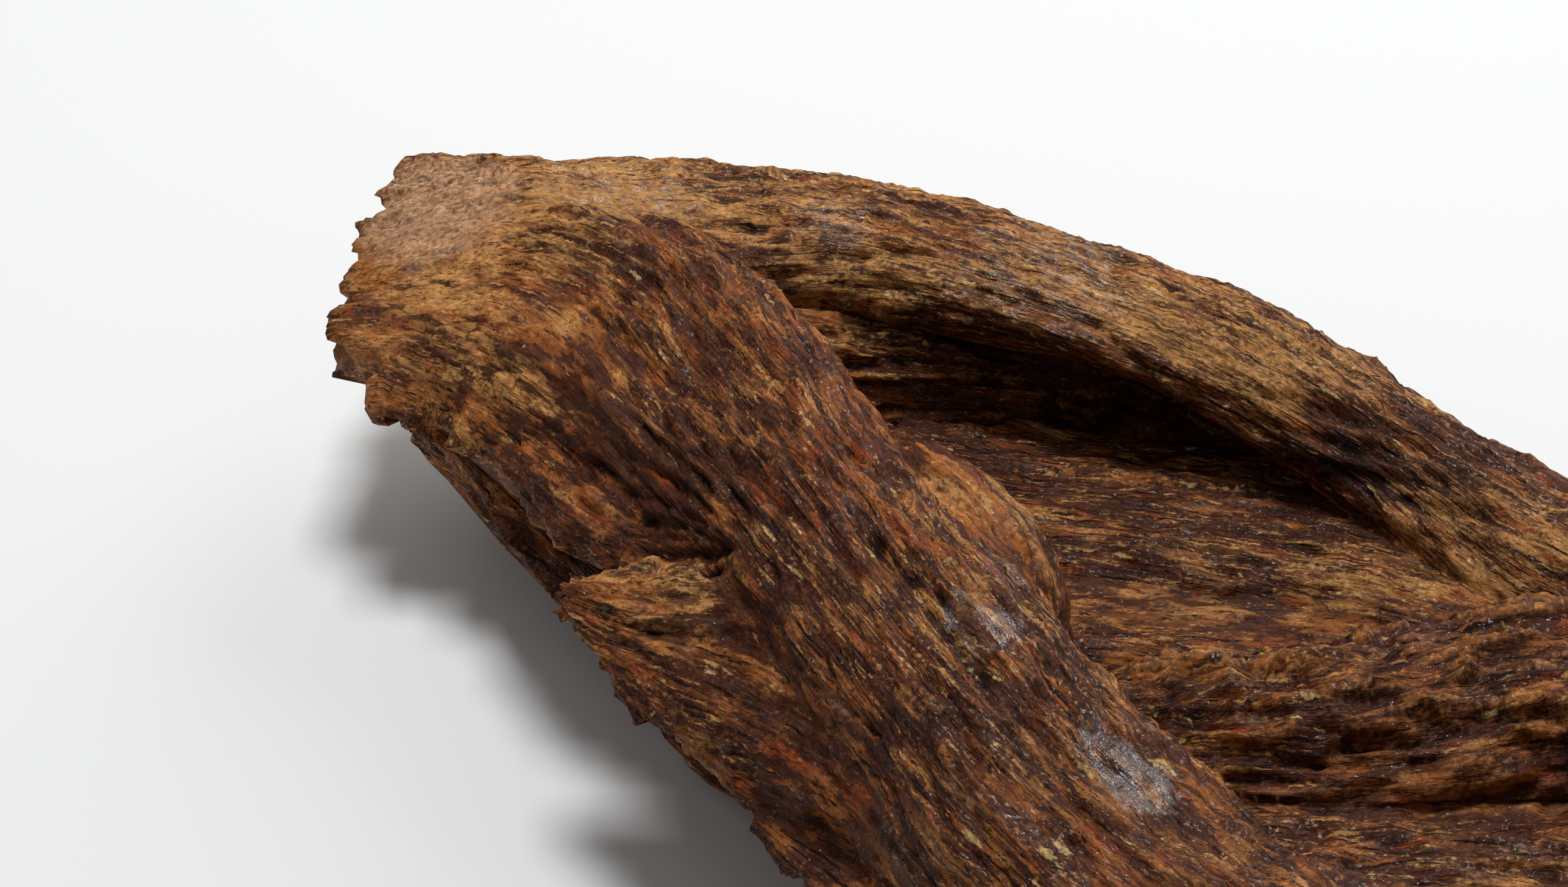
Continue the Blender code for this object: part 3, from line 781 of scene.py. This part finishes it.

# What lies in and on the wood, from the bottom up, and one painted shade that darkens the low relief. Each
# has its colour, its roughness, the length of its spots along the grain and their width across it, how finely
# they are broken up, where in the noise it starts and is full, how much of what is below it hides, and what
# else brings it on: a note on the skin, and how strongly.
GROUND = ("#96592a", 0.6)
SUBSTANCES = [
    ("ochre wood", "#bd8850", 0.66, 8, 2.4, 3.5, 0.5, 0.64, 0.8, "dry", 0.14),
    ("brown wood", "#643519", 0.6, 9, 3.2, 3.5, 0.52, 0.64, 0.75, "resin", 0.16),
    ("mottled wood", "#7a4622", 0.6, 1.7, 0.8, 3.5, 0.5, 0.58, 0.6, "resin", 0.02),
    ("red resin", "#7c3212", 0.45, 5, 1.3, 3.5, 0.53, 0.63, 0.7, "resin", 0.06),
    ("dark resin", "#381a10", 0.5, 3.6, 1, 3.5, 0.515, 0.58, 0.88, "resin", 0.13),
    ("brown strokes", "#4a281a", 0.5, 4.5, 1.5, 2, 0.56, 0.61, 0.75, "resin", 0.04),
    ("dark threads", "#2d140c", 0.5, 3.4, 0.3, 3.5, 0.54, 0.62, 0.8, "resin", 0.05),
    ("golden dust", "#a97c48", 0.8, 2.6, 0.3, 4, 0.6, 0.72, 0.7, "dry", 0.12),
    ("cracks", "#100504", 0.8, 6, 0.24, 3.5, 0.6, 0.66, 0.9, "resin", 0.05),
    # Painted shade: near-black colour wherever the relief sinks, in grooves, creases and the pit, as if shade
    # fell there.
    ("painted shade in furrows", "#140806", 0.7, 3, 0.5, 3.5, 0.62, 0.8, 0.9, "ridge", -0.42),
    ("worn ridges", "#a66c38", 0.55, 3, 0.5, 3.5, 0.64, 0.9, 0.5, "ridge", 0.32),
    ("chipped wood", "#ad8565", 0.6, 5, 1.6, 3.5, 0.55, 1.1, 0.8, "chip", 0.6),
    ("cream flecks", "#a98c5c", 0.7, 3, 0.7, 1, 0.695, 0.78, 0.75, "dry", 0.01),
]
GRIT = 0.3  # how ragged the grit makes the edges of the spots
BREAKING = 0.6  # how strongly each finer octave of a noise breaks up its spots
USUAL_DETAIL = 3.5

WOOD_IOR = 1.53
DULLING = 0.09  # of the wood's own reflection, because its open pores swallow light
POLISH = 1  # how much of a clear coat rubbed resin has
POLISH_ROUGHNESS = 0.15
POLISH_WEAR = (0.9, 0.45)  # the length and width of the spots where the polish is worn off
POLISH_RAG = 0.32  # how ragged they make the edge of the polish
POLISH_EDGE = (0.62, 0.95)  # where in the noise the polish starts and is full
GLINTS = (0.3, 0.18)  # the length and width of the resin's small glinting facets
GLINT_EDGE = (0.6, 0.7)  # where in the noise a facet starts and is full

# The fine relief of the fibres: length along the grain, width across it, height.
FIBRES = [
    (4, 0.5, 0.22),
    (2.6, 0.24, 0.13),
    (0.3, 0.19, 0.1),
]
# The grain of the surface: the size of its specks, and how dark and light they are beside the colour below.
SPECK_LENGTH = 0.375
SPECK_WIDTH = 0.25
SPECK_RANGE = (0.3, 0.7)  # where in the noise they are darkest and lightest
DARK_SPECK = 0.25
LIGHT_SPECK = 1.75


def weathered_agarwood():
    """Weathered agarwood: wood soaked with dark resin, scraped and dried in the open.

    The resin lies in streaks between paler fibres and takes a dull gloss, the bare wood between them is
    dry and rough, and where fibres are torn they are powdery and golden.
    """
    material = bpy.data.materials.new("weathered_agarwood")
    material.use_nodes = True
    tree = material.node_tree
    shader = tree.nodes["Principled BSDF"]
    shader.inputs["IOR"].default_value = WOOD_IOR
    shader.inputs["Specular IOR Level"].default_value = DULLING
    shader.inputs["Coat Roughness"].default_value = POLISH_ROUGHNESS
    nearest = add(tree, "ShaderNodeAttribute", {}, attribute_name="grain_nearest").outputs["Vector"]
    second = add(tree, "ShaderNodeAttribute", {}, attribute_name="grain_second").outputs["Vector"]
    share = add(tree, "ShaderNodeAttribute", {}, attribute_name="second_share").outputs["Fac"]

    def spots(length, width, detail=USUAL_DETAIL):
        """Noise in spots of that length along the grain and that width across it."""
        values = []
        for place in (nearest, second):
            stretch = {0: place, 1: (1 / length, 1 / width, 1 / width)}
            drawn = add(tree, "ShaderNodeVectorMath", stretch, operation="MULTIPLY").outputs["Vector"]
            noise = {"Vector": drawn, "Scale": 1, "Detail": detail, "Roughness": BREAKING}
            values.append(add(tree, "ShaderNodeTexNoise", noise).outputs[0])
        mixed = {0: share, NUMBER_BELOW: values[0], NUMBER_ABOVE: values[1]}
        return add(tree, "ShaderNodeMix", mixed, data_type="FLOAT").outputs[NUMBER_MIXED]

    speck = spots(SPECK_LENGTH, SPECK_WIDTH, 2)
    colour, roughness = linear(GROUND[0]), GROUND[1]
    for name, tint, rough, length, width, detail, start, full, hides, note, pull in SUBSTANCES:
        gritty = {0: speck, 1: GRIT, 2: spots(length, width, detail)}
        ragged = add(tree, "ShaderNodeMath", gritty, operation="MULTIPLY_ADD").outputs[0]
        noted_there = add(tree, "ShaderNodeAttribute", {}, attribute_name=note).outputs["Fac"]
        pulled = {0: noted_there, 1: pull, 2: ragged}
        amount = add(tree, "ShaderNodeMath", pulled, operation="MULTIPLY_ADD").outputs[0]
        step = {"Value": amount, "From Min": start + GRIT / 2, "From Max": full + GRIT / 2, "To Max": hides}
        cover = add(tree, "ShaderNodeMapRange", step, interpolation_type="SMOOTHSTEP", label=name).outputs[0]
        layer = {0: cover, COLOUR_BELOW: colour, COLOUR_ABOVE: linear(tint)}
        colour = add(tree, "ShaderNodeMix", layer, data_type="RGBA").outputs[COLOUR_MIXED]
        sheen = {0: cover, NUMBER_BELOW: roughness, NUMBER_ABOVE: rough}
        roughness = add(tree, "ShaderNodeMix", sheen, data_type="FLOAT").outputs[NUMBER_MIXED]
    specks = {"Value": speck, "From Min": SPECK_RANGE[0], "From Max": SPECK_RANGE[1]}
    specks.update({"To Min": DARK_SPECK, "To Max": LIGHT_SPECK})
    tone = add(tree, "ShaderNodeMapRange", specks).outputs[0]
    grained = {0: 1.0, COLOUR_BELOW: colour, COLOUR_ABOVE: tone}
    toned = add(tree, "ShaderNodeMix", grained, data_type="RGBA", blend_type="MULTIPLY")
    colour = toned.outputs[COLOUR_MIXED]
    height = 0
    for length, width, rise in FIBRES:
        stacked = {0: spots(length, width), 1: rise, 2: height}
        height = add(tree, "ShaderNodeMath", stacked, operation="MULTIPLY_ADD").outputs[0]
    fine = add(tree, "ShaderNodeBump", {"Height": height, "Distance": MM, "Strength": 1}).outputs["Normal"]
    rubbed = add(tree, "ShaderNodeAttribute", {}, attribute_name="polish").outputs["Fac"]
    worn = {0: rubbed, 1: POLISH_RAG, 2: spots(*POLISH_WEAR)}
    amount = add(tree, "ShaderNodeMath", worn, operation="MULTIPLY_ADD").outputs[0]
    step = {"Value": amount, "From Min": POLISH_EDGE[0], "From Max": POLISH_EDGE[1], "To Max": POLISH}
    coat = add(tree, "ShaderNodeMapRange", step, interpolation_type="SMOOTHSTEP").outputs[0]
    facets = {"Value": spots(*GLINTS, 1), "From Min": GLINT_EDGE[0], "From Max": GLINT_EDGE[1]}
    glint = add(tree, "ShaderNodeMapRange", facets, interpolation_type="SMOOTHSTEP").outputs[0]
    shine = add(tree, "ShaderNodeMath", {0: glint, 1: POLISH, 2: coat}, operation="MULTIPLY_ADD").outputs[0]
    tree.links.new(colour, shader.inputs["Base Color"])
    tree.links.new(roughness, shader.inputs["Roughness"])
    tree.links.new(shine, shader.inputs["Coat Weight"])
    tree.links.new(fine, shader.inputs["Normal"])
    tree.links.new(fine, shader.inputs["Coat Normal"])
    return material


CARD_COLOUR = "#e7e8e8"
CARD_ROUGHNESS = 0.9
FLOOR_WIDTH = 4000

# The view: from in front, this far above the level and this far from a point over the design origin.
VIEW_ELEVATION = 38
VIEW_DISTANCE = 250
VIEW_TARGET = (0, 0, 21)
LENS = 100
SENSOR_WIDTH = 36
NEAREST_SEEN = 10

# A soft box over the piece and a little behind it, a broad white panel behind it to the right, and a
# white room. Each light has its size, its place and its watts.
SOFT_BOX = (150, (0, 120, 500), 2)
PANEL = (400, (300, 420, 330), 1.25)
LIGHTS_AIM = (10, 0, 0)
ROOM_STRENGTH = 0.235
ROOM_COLOUR = "#ffffff"


def pale_card():
    """Matt white card: an even, pale floor that keeps a soft shadow."""
    material = bpy.data.materials.new("matt_white_card")
    material.use_nodes = True
    shader = material.node_tree.nodes["Principled BSDF"]
    shader.inputs["Base Color"].default_value = linear(CARD_COLOUR)
    shader.inputs["Roughness"].default_value = CARD_ROUGHNESS
    return material


def looking(thing, place, target):
    """Sets a light or camera at the place, looking at the target, both in the design frame."""
    placed = bpy.data.objects.new(thing.name, thing)
    bpy.context.scene.collection.objects.link(placed)
    placed.location = (Vector(place) - Vector(MIDDLE)) * MM
    placed.rotation_mode = "QUATERNION"
    placed.rotation_quaternion = (Vector(target) - Vector(place)).to_track_quat("-Z", "Y")
    return placed


def studio():
    """The pale floor, the soft light and the camera."""
    bpy.ops.mesh.primitive_plane_add(size=FLOOR_WIDTH * MM)
    floor = bpy.context.object
    floor.name = "floor"
    floor.data.materials.append(pale_card())
    for name, (size, place, watts) in (("soft_box", SOFT_BOX), ("panel", PANEL)):
        light = bpy.data.lights.new(name, "AREA")
        light.size = size * MM
        light.energy = watts
        looking(light, place, LIGHTS_AIM)
    room = bpy.data.worlds.new("white_room")
    room.use_nodes = True
    sky = room.node_tree.nodes["Background"]
    sky.inputs["Color"].default_value = linear(ROOM_COLOUR)
    sky.inputs["Strength"].default_value = ROOM_STRENGTH
    bpy.context.scene.world = room
    lens = bpy.data.cameras.new("camera")
    lens.lens = LENS
    lens.sensor_width = SENSOR_WIDTH
    lens.clip_start = NEAREST_SEEN * MM
    rise = math.radians(VIEW_ELEVATION)
    back = Vector((0, -math.cos(rise), math.sin(rise))) * VIEW_DISTANCE
    bpy.context.scene.camera = looking(lens, Vector(VIEW_TARGET) + back, VIEW_TARGET)
    bpy.context.scene.view_settings.view_transform = "Standard"


def main():
    limbs = [limb(name, stations) for name, stations in LIMBS.items()]
    piece = shaped(fused(limbs, "weathered_fork", VOXEL))
    faceted(piece, TRIANGLES)
    finished(settled(piece))
    piece.data.name = "weathered_fork"
    piece.data.materials.clear()
    piece.data.materials.append(weathered_agarwood())
    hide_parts("agarwood")
    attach(piece, "root")
    studio()


main()
